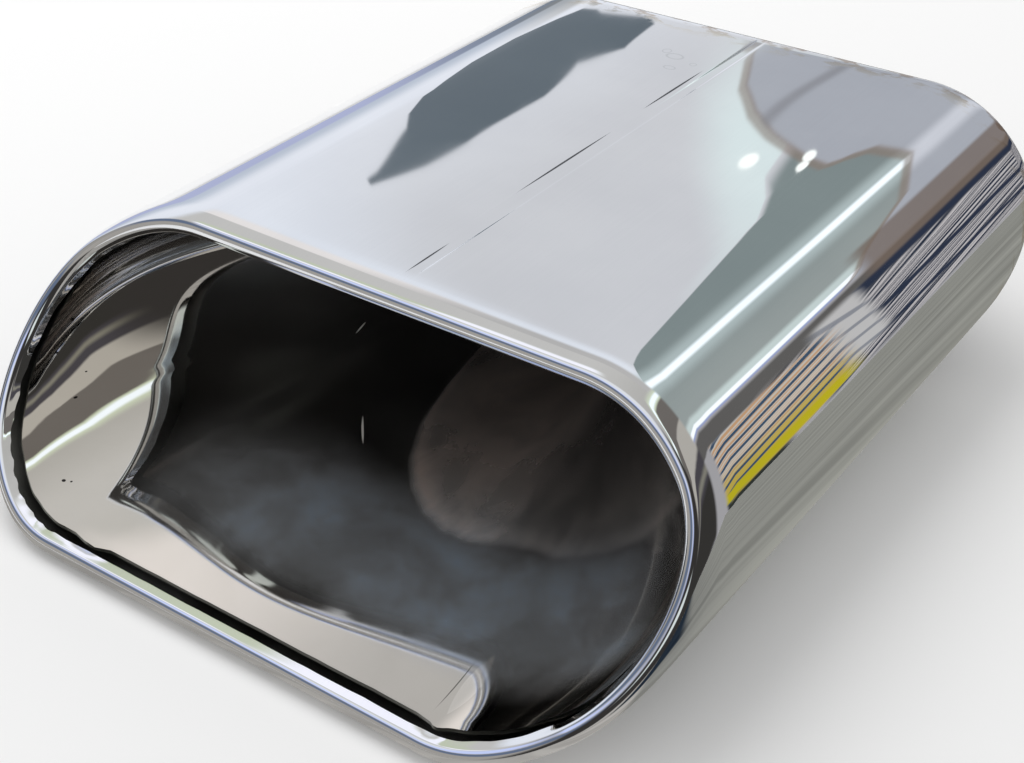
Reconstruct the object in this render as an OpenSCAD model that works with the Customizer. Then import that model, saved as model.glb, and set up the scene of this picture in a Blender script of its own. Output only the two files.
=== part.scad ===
// Oval tailpipe tip with a curled mouth, cut on a slant at both ends.
// +X is the width, +Z is up, and the mouth faces -Y.
// The origin is the centre of the inlet pipe's open end.

/* [Body] */
// Width of the oval body, side to side
body_w = 170; // [150:1:200]
// Width of the flat stretch on top and below
flat_w = 96.5; // [80:0.5:105]
// Turn of the tighter curve from the middle of a side, in degrees
side_turn = 53; // [45:1:56]
// Length of the body between its two cuts
body_len = 161; // [130:1:220]
// Thickness of the body's sheet
sheet = 1; // [0.8:0.1:1.2]

/* [Cuts] */
// Lean of both end cuts away from upright, in degrees
cut_lean = 42.8; // [30:0.2:45]
// How far forward the top and bottom of a cut curve from a straight slant
cut_bow = 3.2; // [1:0.1:5]

/* [Lip] */
// Outer radius of the curl round the mouth
lip_r = 2; // [1.6:0.1:2.6]
// Straight return of the sheet behind the curl
lip_return = 1.5; // [0.5:0.1:3]
// Radius of the shoulder that leads into the curl
shoulder_r = 12; // [8:1:16]
// Turn of that shoulder, in degrees
shoulder_turn = 21; // [12:1:26]

/* [Liner] */
// Thickness of the inner wall
liner_t = 0.8; // [0.6:0.1:1]
// Open gap between the edge of the curl's return and the liner
liner_gap = 2.3; // [1:0.1:4]
// How much further inwards than that edge the liner's inside lies
liner_drop = 0.5; // [0.3:0.1:1]

/* [Seam] */
// Distance of the weld seam from the middle of the top
seam_x = 2.4; // [-20:0.1:20]
// Width of the seam's groove
seam_w = 2.6; // [1:0.1:4]
// Depth of the seam's groove
seam_depth = 0.15; // [0.1:0.05:0.3]

/* [Rear end] */
// Outer radius of the body's turned-in rear edge
rear_r = 3.5; // [3:0.1:4]
// Flat width of the turned-in edge past its radius
rear_hem = 0.3; // [0.1:0.1:0.6]
// Thickness of the pressed rear plate
plate_t = 1.2; // [1:0.1:1.4]
// Depth of the plate's rim inside the body
rim_depth = 10; // [7:0.5:14]

/* [Inlet] */
// Bore of the inlet pipe
inlet_bore = 42.5; // [38:0.5:50]
// Wall of the inlet pipe
inlet_wall = 1.5; // [1:0.1:2]
// Height of the body over the pipe, and as much under it
inlet_margin = 5.5; // [5:0.1:12]
// Length of pipe that stands clear behind the body
inlet_reach = 8; // [4:1:14]
// Length of pipe left in front of the plate at the pipe's underside
inlet_inside = 4; // [2:0.5:10]
// Leg of the weld bead round the pipe
weld_leg = 1.5; // [1:0.1:2]

/* [Hidden] */
// Clearance between the plate and the body that is folded over it
plate_gap = 0.1;
// Clearance between the pipe and what lies round it
pipe_gap = 0.05;
// Least gap between the weld and the folded edge
bead_gap = 0.1;
// How far a cutting tool reaches past the faces it cuts
overcut = 1;
// Facets along the tighter curve, the wider curve and half of the flat
side_steps = 9;
corner_steps = 8;
flat_steps = 3;
// Facets of the liner along half of the flat and from its front to its rear
liner_flat_steps = 9;
liner_steps = 9;
// Power of the liner's narrowing: below 1 it narrows sooner
liner_power = 0.85;
// Facets along the shoulder, the curl and a turned-in corner
shoulder_steps = 4;
curl_steps = 9;
corner_fold_steps = 4;
// Facets round the weld bead and across it
weld_steps = 60;
bead_steps = 3;
// Facets of the pipe
$fn = 96;

// The body is as high as the pipe and its margins
inlet_od = inlet_bore + 2 * inlet_wall;
body_h = inlet_od + 2 * inlet_margin;

// The quarter outline is a tight side arc, a wider corner arc and half of the flat.
// Both arcs together have to be arcs_h high and arcs_w wide
arcs_h = body_h / 2;
arcs_w = (body_w - flat_w) / 2;
side_h = sin(side_turn);
side_w = 1 - cos(side_turn);
corner_h = 1 - sin(side_turn);
corner_w = cos(side_turn);
arcs_det = side_h * corner_w - corner_h * side_w;
side_r = (arcs_h * corner_w - corner_h * arcs_w) / arcs_det;
corner_r = (side_h * arcs_w - side_w * arcs_h) / arcs_det;
function arc_len(r, turn) = r * turn * PI / 180;
function arc_turn(r, len) = len / r * 180 / PI;
side_len = arc_len(side_r, side_turn);
corner_len = arc_len(corner_r, 90 - side_turn);
arcs_len = side_len + corner_len;
quarter_len = arcs_len + flat_w / 2;

// Point on an arc that starts at p, from its radius and its start and end angles
function arc_to(p, r, a0, a1) = [p[0] - r * (cos(a0) - cos(a1)), p[1] + r * (sin(a1) - sin(a0)), a1];
side_start = [body_w / 2, 0];
side_end = arc_to(side_start, side_r, 0, side_turn);

// Point of the quarter outline at length s from the middle of the side, with its outward angle
function quarter_at(s) =
    s < side_len ? arc_to(side_start, side_r, 0, arc_turn(side_r, s))
    : s < arcs_len ? arc_to(side_end, corner_r, side_turn, side_turn + arc_turn(corner_r, s - side_len))
    : [quarter_len - s, body_h / 2, 90];

// Point of the whole outline at length s, counted upwards from the middle of the right side
function outline_at(s) =
    let (turn = floor(s / quarter_len),
         f = s - turn * quarter_len,
         k = turn - 4 * floor(turn / 4),
         p = quarter_at(k % 2 == 0 ? f : quarter_len - f))
    k == 0 ? p
    : k == 1 ? [-p[0], p[1], 180 - p[2]]
    : k == 2 ? [-p[0], -p[1], 180 + p[2]]
    : [p[0], -p[1], -p[2]];

// Both cuts follow the same curve: how far back it lies at height z, and its slope
function cut_at(z) = z * tan(cut_lean) - cut_bow * pow(2 * z / body_h, 2);
function cut_slope(z) = tan(cut_lean) - 8 * cut_bow * z / (body_h * body_h);
rear_y = -inlet_reach - cut_at(body_h / 2);
mouth_y = rear_y - body_len;

// The curl and its shoulder in a plane square to the mouth's edge: b is measured back
// from the foremost point, v inwards from the body's outside, and a is the turn so far
shoulder_v = shoulder_r * (1 - cos(shoulder_turn));
shoulder_b = shoulder_r * sin(shoulder_turn);
lip_back = shoulder_b + lip_r * (1 - sin(shoulder_turn));
function lip_outer(a) = a < shoulder_turn
    ? [lip_back - shoulder_r * sin(a), shoulder_r * (1 - cos(a))]
    : [lip_r * (1 - sin(a)), shoulder_v + lip_r * (cos(shoulder_turn) - cos(a))];
function lip_inner(a) = lip_outer(a) + sheet * [sin(a), cos(a)];
curl_end = lip_outer(180) + [lip_return, 0];
lip_turns = [
    for (i = [0 : shoulder_steps - 1]) shoulder_turn * i / shoulder_steps,
    for (i = [0 : curl_steps]) shoulder_turn + (180 - shoulder_turn) * i / curl_steps
];

// How far a point set back by b along the lip moves round the outline and along Y
function edge_slope(s) = let (p = outline_at(s)) cut_slope(p[1]) * cos(p[2]);
function edge_norm(s) = sqrt(1 + pow(edge_slope(s), 2));
function lip_point(s, b, v) =
    let (p = outline_at(s - edge_slope(s) * b / edge_norm(s)))
    [p[0] - v * cos(p[2]), mouth_y + cut_at(outline_at(s)[1]) + b / edge_norm(s), p[1] - v * sin(p[2])];

// Point v inside the outline and d in front of the rear cut
function rear_point(s, d, v) =
    let (p = outline_at(s), z = p[1] - v * sin(p[2]))
    [p[0] - v * cos(p[2]), rear_y + cut_at(z) - d, z];

// A folded corner of outside radius r and thickness t, which starts v0 inside the outline
// and d0 in front of the cut; the slant makes the part along the cut look thicker along Y
function along_y(t) = t / cos(cut_lean);
function fold_outer(a, r, v0, d0) = [d0 + r * (1 - sin(a)), v0 + r * (1 - cos(a))];
function fold_inner(a, r, t, v0, d0) =
    [d0 + r - (r - along_y(t)) * sin(a), v0 + r - (r - t) * cos(a)];
fold_turns = [for (i = [0 : corner_fold_steps]) 90 * i / corner_fold_steps];
function backwards(list) = [for (i = [len(list) - 1 : -1 : 0]) list[i]];

// Lengths round the outline at which the sheet is modelled
arc_stops = [
    for (i = [0 : side_steps - 1]) side_len * i / side_steps,
    for (i = [0 : corner_steps - 1]) side_len + corner_len * i / corner_steps
];
function all_round(flat_stops) =
    let (quarter = [each arc_stops, each flat_stops],
         half = [
             each quarter,
             quarter_len,
             for (i = [len(quarter) - 1 : -1 : 1]) 2 * quarter_len - quarter[i]
         ])
    [each half, for (s = half) s + 2 * quarter_len];
outline_stops = all_round([for (i = [0 : flat_steps - 1]) arcs_len + flat_w / 2 * i / flat_steps]);
seam_s = quarter_len - seam_x;
shell_stops = [
    for (s = outline_stops) if (s < seam_s - seam_w) s,
    for (i = [-2, -1, 1, 2]) seam_s + seam_w * i / 4,
    for (s = outline_stops) if (s > seam_s + seam_w) s
];

// Faces between rings of m points each, where every ring is joined to the next and the last
// to the first; the faces between point skip and the one after it are left out
function ring_faces(n, m, skip = -1) = [
    for (i = [0 : n - 1], j = [0 : m - 1]) if (j != skip)
        let (a = i * m + j, b = i * m + (j + 1) % m,
             c = (i + 1) % n * m + (j + 1) % m, d = (i + 1) % n * m + j)
        each [[a, b, c], [a, c, d]]
];

// One ring of the body's sheet: outside from the shoulder round the curl to the end of its
// return, back along the inside, round the rear edge and forwards to the shoulder
function shell_ring(s) =
    let (body_s = s - edge_slope(s) * lip_back / edge_norm(s),
         hem_v = rear_r + rear_hem,
         groove = abs(s - seam_s) < seam_w / 3 ? seam_depth : 0)
    [
        lip_point(s, lip_back, groove),
        for (i = [1 : len(lip_turns) - 1]) let (q = lip_outer(lip_turns[i])) lip_point(s, q[0], q[1]),
        lip_point(s, curl_end[0], curl_end[1]),
        lip_point(s, curl_end[0], curl_end[1] - sheet),
        for (a = backwards(lip_turns)) let (q = lip_inner(a)) lip_point(s, q[0], q[1]),
        for (a = fold_turns) let (q = fold_inner(a, rear_r, sheet, 0, 0)) rear_point(body_s, q[0], q[1]),
        rear_point(body_s, along_y(sheet), hem_v),
        rear_point(body_s, 0, hem_v),
        for (i = [len(fold_turns) - 1 : -1 : 1])
            let (q = fold_outer(fold_turns[i], rear_r, 0, 0)) rear_point(body_s, q[0], q[1]),
        rear_point(body_s, rear_r, groove)
    ];

module outer_shell() {
    rings = [for (s = shell_stops) shell_ring(s)];
    color("gainsboro")
        polyhedron(points = [for (ring = rings) each ring], faces = ring_faces(len(rings), len(rings[0])));
}

// The liner is a funnel that starts as an oval behind the curl and ends as a collar on the pipe.
// Its stops along the flats lie at equal angles round the pipe
liner_b = curl_end[0] + liner_gap;
liner_v = curl_end[1] + liner_drop;
liner_z = body_h / 2 - liner_v;
liner_turn = atan(flat_w / 2 / liner_z);
liner_stops = all_round([
    for (i = [0 : liner_flat_steps - 1])
        quarter_len - liner_z * tan(liner_turn * (1 - i / liner_flat_steps))
]);
collar_r = (inlet_od / 2 + pipe_gap) / cos(liner_turn / liner_flat_steps / 2);
collar_len = inlet_inside / 2;

// Point at share t of the liner's length and out by u from its inside
function liner_point(s, t, u) =
    let (p = lip_point(s, liner_b, liner_v - u), turn = atan2(p[2], p[0]),
         r = collar_r + u, e = pow(t * t * (3 - 2 * t), liner_power))
    [
        p[0] * (1 - e) + r * cos(turn) * e,
        p[1] * (1 - t) + inlet_front * t,
        p[2] * (1 - e) + r * sin(turn) * e
    ];

function liner_ring(s) = [
    liner_point(s, 1, liner_t) + [0, collar_len, 0],
    for (i = [liner_steps : -1 : 0]) liner_point(s, i / liner_steps, liner_t),
    for (i = [0 : liner_steps]) liner_point(s, i / liner_steps, 0),
    liner_point(s, 1, 0) + [0, collar_len, 0]
];

module inner_liner() {
    rings = [for (s = liner_stops) liner_ring(s)];
    color("darkgray")
        polyhedron(points = [for (ring = rings) each ring], faces = ring_faces(len(rings), len(rings[0])));
}

// The rear plate is a shallow pan, held under the body's folded edge
pan_v = sheet + plate_gap;
pan_d = along_y(sheet) + plate_gap;
pan_r = rear_r - sheet - plate_gap;
pan_path = [
    [rim_depth, pan_v + plate_t],
    for (a = fold_turns) fold_inner(a, pan_r, plate_t, pan_v, pan_d),
    for (a = backwards(fold_turns)) fold_outer(a, pan_r, pan_v, pan_d),
    [rim_depth, pan_v]
];

// The pan's face through points k of n rings. Strips across the width join the curved sides,
// because the cut is straight along X, and a fan of triangles meets each flat
function face_of(n, m, k) =
    let (curved = side_steps + corner_steps, half = n / 2,
         strips = [
             for (i = [1 - curved : curved - 2])
                 let (a = (i + n) % n, b = (i + 1 + n) % n,
                      c = (half - b + n) % n, d = (half - a + n) % n)
                 each [[a, b, c], [a, c, d]]
         ],
         top_fan = [for (i = [curved - 1 : half - curved - 1]) [half - curved + 1, i, i + 1]],
         bottom_fan = [for (i = [half + curved : n - curved]) [half + curved - 1, i, i + 1]])
    [for (f = [each strips, each top_fan, each bottom_fan]) f * m + [k, k, k]];

module pan() {
    n = len(outline_stops);
    m = len(pan_path);
    inner_k = len(fold_turns);
    polyhedron(
        points = [for (s = outline_stops, q = pan_path) rear_point(s, q[0], q[1])],
        faces = [
            each ring_faces(n, m, inner_k),
            for (f = face_of(n, m, inner_k)) backwards(f),
            each face_of(n, m, inner_k + 1)
        ]
    );
}

// Round stock along Y from y0 to y1
module along(y0, y1, d) {
    translate([0, y1, 0]) rotate([90, 0, 0]) cylinder(d = d, h = y1 - y0);
}

plate_back = rear_y - pan_d;
plate_front = plate_back - along_y(plate_t);
inlet_front = plate_front + cut_at(-inlet_od / 2) - inlet_inside;

module rear_plate() {
    color("silver") difference() {
        pan();
        along(inlet_front - overcut, overcut, inlet_od + 2 * pipe_gap);
    }
}

module inlet_pipe() {
    color("darkgray") difference() {
        along(inlet_front, 0, inlet_od);
        along(inlet_front - overcut, overcut, inlet_bore);
    }
}

// The bead fills the corner between the pipe and the plate's rear face. Its leg is kept
// inside the folded edge above and below the pipe
hem_room = inlet_margin - rear_r - rear_hem;
bead_leg = min(weld_leg, hem_room - pipe_gap - bead_gap);

// Point of the bead at turn t round the pipe, out by r from its wall and up by h from the plate
function bead_point(t, r, h) =
    let (radius = inlet_od / 2 + r, z = radius * sin(t))
    [radius * cos(t), plate_back + cut_at(z) + h, z];

function bead_ring(t) = [
    bead_point(t, pipe_gap, pipe_gap),
    for (i = [bead_steps : -1 : 0])
        let (a = 90 * i / bead_steps)
        bead_point(t, pipe_gap + bead_leg * cos(a), pipe_gap + bead_leg * sin(a))
];

module inlet_weld() {
    rings = [for (i = [0 : weld_steps - 1]) bead_ring(360 * i / weld_steps)];
    color("dimgray")
        polyhedron(points = [for (ring = rings) each ring], faces = ring_faces(len(rings), len(rings[0])));
}

outer_shell();
inner_liner();
rear_plate();
inlet_pipe();
inlet_weld();
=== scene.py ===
import math

import bpy
import numpy as np
from mathutils import Matrix, Vector


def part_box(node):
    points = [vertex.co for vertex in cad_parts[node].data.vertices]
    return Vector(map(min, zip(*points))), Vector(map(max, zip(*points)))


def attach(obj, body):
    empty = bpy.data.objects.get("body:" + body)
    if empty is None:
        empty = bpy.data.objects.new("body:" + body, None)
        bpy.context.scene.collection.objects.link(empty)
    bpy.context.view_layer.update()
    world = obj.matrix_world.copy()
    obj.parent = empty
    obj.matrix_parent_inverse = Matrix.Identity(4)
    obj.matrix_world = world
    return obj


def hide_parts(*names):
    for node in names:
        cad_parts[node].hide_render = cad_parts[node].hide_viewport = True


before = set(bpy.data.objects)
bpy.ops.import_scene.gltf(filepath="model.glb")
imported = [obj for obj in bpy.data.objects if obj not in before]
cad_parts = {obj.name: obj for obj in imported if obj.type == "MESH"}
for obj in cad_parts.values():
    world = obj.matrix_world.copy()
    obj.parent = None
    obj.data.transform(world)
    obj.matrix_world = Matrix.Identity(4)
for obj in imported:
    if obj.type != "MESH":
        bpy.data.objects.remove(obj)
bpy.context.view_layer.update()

MM = 0.001
DEGREES = 180 / math.pi

# Sizes of the tip in millimetres, with the same names as in the part's source
BODY_W = 170.0
FLAT_W = 96.5
SIDE_TURN = math.radians(53)
BODY_LEN = 161.0
SHEET = 1.0
CUT_LEAN = math.radians(42.8)
CUT_BOW = 3.2
LIP_R = 2.0
LIP_RETURN = 1.5
SHOULDER_R = 12.0
SHOULDER_TURN = math.radians(21)
SEAM_X = 2.4
SEAM_W = 2.6
REAR_R = 3.5
REAR_HEM = 0.3
INLET_OD = 45.5
INLET_INSIDE = 4.0
LINER_T = 0.8
LINER_GAP = 2.3
LINER_DROP = 0.5
LINER_POWER = 0.85
LINER_FLAT_POWER = 0.95

shell_low, shell_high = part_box("outer_shell")
BODY_H = (shell_high.z - shell_low.z) / MM

# The outline is a tight side arc, a wider corner arc and a flat
ARCS_H = BODY_H / 2
ARCS_W = (BODY_W - FLAT_W) / 2
TURN_SIN = math.sin(SIDE_TURN)
TURN_COS = math.cos(SIDE_TURN)
ARCS_DET = TURN_SIN * TURN_COS - (1 - TURN_SIN) * (1 - TURN_COS)
SIDE_R = (ARCS_H * TURN_COS - (1 - TURN_SIN) * ARCS_W) / ARCS_DET
CORNER_R = (TURN_SIN * ARCS_W - (1 - TURN_COS) * ARCS_H) / ARCS_DET
SIDE_LEN = SIDE_R * SIDE_TURN
CORNER_LEN = CORNER_R * (math.pi / 2 - SIDE_TURN)
ARCS_LEN = SIDE_LEN + CORNER_LEN
QUARTER_LEN = ARCS_LEN + FLAT_W / 2
SEAM_S = QUARTER_LEN - SEAM_X


def quarter_at(s):
    """Point and outward angle of the quarter outline at lengths s from the middle of the side."""
    side = np.minimum(s, SIDE_LEN) / SIDE_R
    corner = SIDE_TURN + (np.clip(s, SIDE_LEN, ARCS_LEN) - SIDE_LEN) / CORNER_R
    flat = np.maximum(s - ARCS_LEN, 0)
    x = BODY_W / 2 - SIDE_R * (1 - np.cos(side)) - CORNER_R * (TURN_COS - np.cos(corner)) - flat
    z = SIDE_R * np.sin(side) + CORNER_R * (np.sin(corner) - TURN_SIN)
    return x, z, np.where(s < SIDE_LEN, side, corner)


def outline_at(s):
    """Point and outward angle of the whole outline at lengths s, counted upwards from the right side."""
    turn = np.floor(s / QUARTER_LEN)
    f = s - turn * QUARTER_LEN
    k = turn.astype(int) % 4
    x, z, a = quarter_at(np.where(k % 2 == 1, QUARTER_LEN - f, f))
    x = np.where((k == 1) | (k == 2), -x, x)
    z = np.where(k >= 2, -z, z)
    a = np.select([k == 0, k == 1, k == 2, k == 3], [a, math.pi - a, math.pi + a, -a])
    return x, z, a


def cut_at(z):
    """How far back both end cuts lie at height z."""
    return z * math.tan(CUT_LEAN) - CUT_BOW * (2 * z / BODY_H) ** 2


def cut_slope(z):
    """How steeply the end cuts run back at height z."""
    return math.tan(CUT_LEAN) - 8 * CUT_BOW * z / BODY_H ** 2


MOUTH_Y = shell_low.y / MM - cut_at(-BODY_H / 2)
REAR_Y = MOUTH_Y + BODY_LEN
LIP_DEPTH = SHOULDER_R * (1 - math.cos(SHOULDER_TURN)) + LIP_R * (1 + math.cos(SHOULDER_TURN))
LINER_START = LIP_R + LIP_RETURN + LINER_GAP
LINER_DEPTH = LIP_DEPTH + LINER_DROP
COLLAR_R = INLET_OD / 2 + 0.1
INLET_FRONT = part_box("inlet_pipe")[0].y / MM

# The bend into the curl tightens evenly over the onset, and the curl stops a little short of a half
# turn, so the return still leans inwards
CURL_END = math.radians(166)
LIP_ONSET = 8.0
LIP_STEPS = 36

# How far the polish is uneven, and how deep the seam's groove is, in millimetres
POLISH_WAVE = 0.015
SEAM_DEPTH = 0.05
SHARP_EDGE = math.radians(50)

# Where the liner's front edge comes close to the return: outline length, nearness and half width
PINCHES = ((259.4, 1.9, 2.0), (349.1, 1.1, 2.5), (196.0, 1.3, 14.0))


def lip_profile(onset, steps):
    """Turns and places of the lip's outside, whose bend tightens evenly over the onset length."""
    count = 4000
    span = onset + math.pi * LIP_R * 1.2
    length = np.linspace(0, span, count)
    tight = 1 / LIP_R
    shoulder = 2 * SHOULDER_TURN / onset
    bend = np.where(length < onset, shoulder * length / onset, shoulder)
    bend = bend + (tight - shoulder) * np.clip((length - onset) / 0.8, 0, 1)
    step = length[1]
    turn = np.cumsum(bend) * step
    back = -np.cumsum(np.cos(turn)) * step
    depth = np.cumsum(np.sin(turn)) * step
    wanted = np.concatenate([
        np.linspace(0, SHOULDER_TURN, steps // 3, endpoint=False),
        np.linspace(SHOULDER_TURN, CURL_END, steps - steps // 3),
    ])
    back = np.interp(wanted, turn, back)
    depth = np.interp(wanted, turn, depth)
    return wanted, back - back.min(), depth * LIP_DEPTH / depth[-1]


def edge_step(s, b):
    """Outline length and Y offset of a point set back by b from the mouth's edge at s."""
    _, z, a = outline_at(s)
    slope = cut_slope(z) * np.cos(a)
    norm = np.sqrt(1 + slope ** 2)
    return s - slope * b / norm, MOUTH_Y + cut_at(z) + b / norm


def lip_point(s, b, v):
    """Points set back by b from the mouth's edge and v below the outline, and their lengths round it."""
    u, y = edge_step(s, b)
    x, z, a = outline_at(u)
    return np.stack([x - v * np.cos(a), y, z - v * np.sin(a)], -1), u


def rear_point(s, d, v):
    """Points at d before the rear cut and v below the outline, and their lengths round it."""
    x, z, a = outline_at(s)
    x = x - v * np.cos(a)
    z = z - v * np.sin(a)
    return np.stack([x, REAR_Y + cut_at(z) - d, z], -1), s


def along_y(t):
    """Length along Y of a thickness t that is measured square to the rear cut."""
    return t / math.cos(CUT_LEAN)


def link(obj):
    bpy.context.scene.collection.objects.link(obj)
    return obj


def edge_wave(s):
    """Uneven run of the sheared edges along the outline, between about -1 and 1."""
    return (np.sin(s * 0.21 + 0.7) + np.sin(s * 0.47 + 2.0) + 0.6 * np.sin(s * 0.93)) / 2.6


def grid_faces(n, m):
    """Quads between n rings of m points, closed both ways."""
    i, j = np.meshgrid(np.arange(n), np.arange(m), indexing="ij")
    i2 = (i + 1) % n
    j2 = (j + 1) % m
    return np.stack([i * m + j, i * m + j2, i2 * m + j2, i2 * m + j], -1).reshape(-1, 4)


def mesh_piece(name, points, faces, slots, attributes):
    """A smooth mesh from points in millimetres, with float attributes at its points."""
    mesh = bpy.data.meshes.new(name)
    mesh.from_pydata((points * MM).tolist(), [], faces.tolist())
    for key, values in attributes.items():
        layer = mesh.attributes.new(key, "FLOAT", "POINT")
        layer.data.foreach_set("value", values.astype(np.float32))
    mesh.polygons.foreach_set("use_smooth", np.ones(len(mesh.polygons), bool))
    if slots is not None:
        mesh.polygons.foreach_set("material_index", slots)
    mesh.update()
    return link(bpy.data.objects.new(name, mesh))


def soft_waves(u, y, seed):
    """Slow unevenness of hand-polished sheet, between about -1 and 1."""
    rng = np.random.default_rng(seed)
    total = np.zeros_like(u)
    around = 4 * QUARTER_LEN
    for _ in range(9):
        turns = rng.integers(1, 8)
        length = rng.uniform(55, 160)
        shift = rng.uniform(0, 2 * math.pi, 2)
        across = np.sin(2 * math.pi * turns * u / around + shift[0])
        total += across * np.sin(2 * math.pi * y / length + shift[1])
    return total / 3


def shell_stops():
    """Lengths round the outline, closer together on the curves and at the seam."""
    quarter = np.concatenate([
        np.linspace(0, SIDE_LEN, 26, endpoint=False),
        np.linspace(SIDE_LEN, ARCS_LEN, 24, endpoint=False),
        np.linspace(ARCS_LEN, QUARTER_LEN, 14, endpoint=False),
    ])
    half = np.concatenate([quarter, [QUARTER_LEN], 2 * QUARTER_LEN - quarter[:0:-1]])
    stops = np.concatenate([half, half + 2 * QUARTER_LEN])
    half_band = SEAM_W / 2
    near = np.concatenate([sign * half_band + np.array([-0.6, -0.35, -0.2, -0.1, 0, 0.1, 0.2, 0.35, 0.6])
                           for sign in (-1, 1)] + [[0, -2.5, 2.5]])
    return np.sort(np.concatenate([stops[np.abs(stops - SEAM_S) > 3], SEAM_S + near]))


def build_shell():
    """The sheet as one closed skin: lip, return, inside, folded rear edge and outside."""
    s = shell_stops()
    turns, backs, depths = lip_profile(LIP_ONSET, LIP_STEPS)
    onset = backs[0]
    body_s = edge_step(s, onset)[0]
    around = 4 * QUARTER_LEN
    corner = np.cos(2 * math.pi * s / around) ** 2
    ripple = edge_wave(s)
    scallop = np.exp(-((s - 228) / 26) ** 2) * np.sin(s * 0.62) ** 4
    ret = LIP_RETURN * (1 + (0.04 + 0.14 * corner) * ripple) + 0.35 * scallop
    dip = 0.06 * corner * ripple + 0.12 * scallop
    for place, nearness, width in PINCHES[:2]:
        dip = dip + 0.2 * nearness * np.exp(-((s - place) / width) ** 2)
    rows = []
    kinds = []

    def add(point_u, kind):
        rows.append(point_u)
        kinds.append(kind)

    outside, inside = 0, 1
    for b, v in zip(backs, depths):
        add(lip_point(s, b, v), outside)
    end_b, end_v = backs[-1], depths[-1]
    lean = math.tan(math.pi - CURL_END)
    for t in (0.35, 0.7, 1.0):
        add(lip_point(s, end_b + ret * t, end_v + lean * ret * t + dip * t * t), outside)
    edge = end_v + lean * ret + dip
    add(lip_point(s, end_b + ret, edge - SHEET * 0.5), outside)
    add(lip_point(s, end_b + ret, edge - SHEET), inside)
    for i in range(len(turns) - 1, -1, -2):
        v = depths[i] + SHEET * math.cos(turns[i])
        add(lip_point(s, backs[i] + SHEET * math.sin(turns[i]), v), inside)
    inner_first = lip_point(s, onset, SHEET)[0]
    inner_last, u1 = rear_point(body_s, REAR_R, SHEET)
    for t in np.linspace(0, 1, 26)[1:-1]:
        add((inner_first * (1 - t) + inner_last * t, u1), inside)
    for a in np.linspace(0, math.pi / 2, 8):
        d = REAR_R - (REAR_R - along_y(SHEET)) * math.sin(a)
        add(rear_point(body_s, d, REAR_R - (REAR_R - SHEET) * math.cos(a)), inside)
    add(rear_point(body_s, along_y(SHEET), REAR_R + REAR_HEM), inside)
    add(rear_point(body_s, 0, REAR_R + REAR_HEM), outside)
    for a in np.linspace(math.pi / 2, 0, 10):
        add(rear_point(body_s, REAR_R * (1 - math.sin(a)), REAR_R * (1 - math.cos(a))), outside)
    outer_last, u1 = rear_point(body_s, REAR_R, 0)
    outer_first = lip_point(s, onset, 0)[0]
    wall = len(rows)
    for t in np.linspace(1, 0, 64)[1:-1]:
        add((outer_first * (1 - t) + outer_last * t, u1), outside)

    points = np.stack([p for p, u in rows], 1)
    lengths = np.stack([u for p, u in rows], 1)
    angle = outline_at(lengths)[2]
    normal = np.stack([np.cos(angle), np.zeros_like(angle), np.sin(angle)], -1)
    y = points[..., 1]
    points = points + normal * (POLISH_WAVE * soft_waves(lengths, y, 5))[..., None]
    from_seam = np.abs(lengths - SEAM_S) - SEAM_W / 2
    share = np.clip((y - MOUTH_Y - cut_at(BODY_H / 2)) / BODY_LEN, 0, 1)
    worn = 0.25 + 0.75 * np.maximum(np.exp(-(share / 0.16) ** 2), np.exp(-((share - 0.9) / 0.12) ** 2))
    groove = SEAM_DEPTH * worn / (1 + np.exp(np.clip(from_seam / 0.09, -30, 30)))
    on_wall = np.zeros(len(rows))
    on_wall[wall:] = 1
    points = points - normal * (groove * on_wall)[..., None]
    from_rear = REAR_Y + cut_at(points[..., 2]) - y
    n, m = len(s), len(rows)
    faces = grid_faces(n, m)
    kind = np.array(kinds)
    slots = np.tile(np.maximum(kind, np.roll(kind, -1)), n)
    obj = mesh_piece("polished_shell", points.reshape(-1, 3), faces, slots,
                     {"around": lengths.ravel(), "along": y.ravel(), "from_rear": from_rear.ravel()})
    obj.data.set_sharp_from_angle(angle=SHARP_EDGE)
    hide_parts("outer_shell")
    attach(obj, "root")
    return obj


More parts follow.
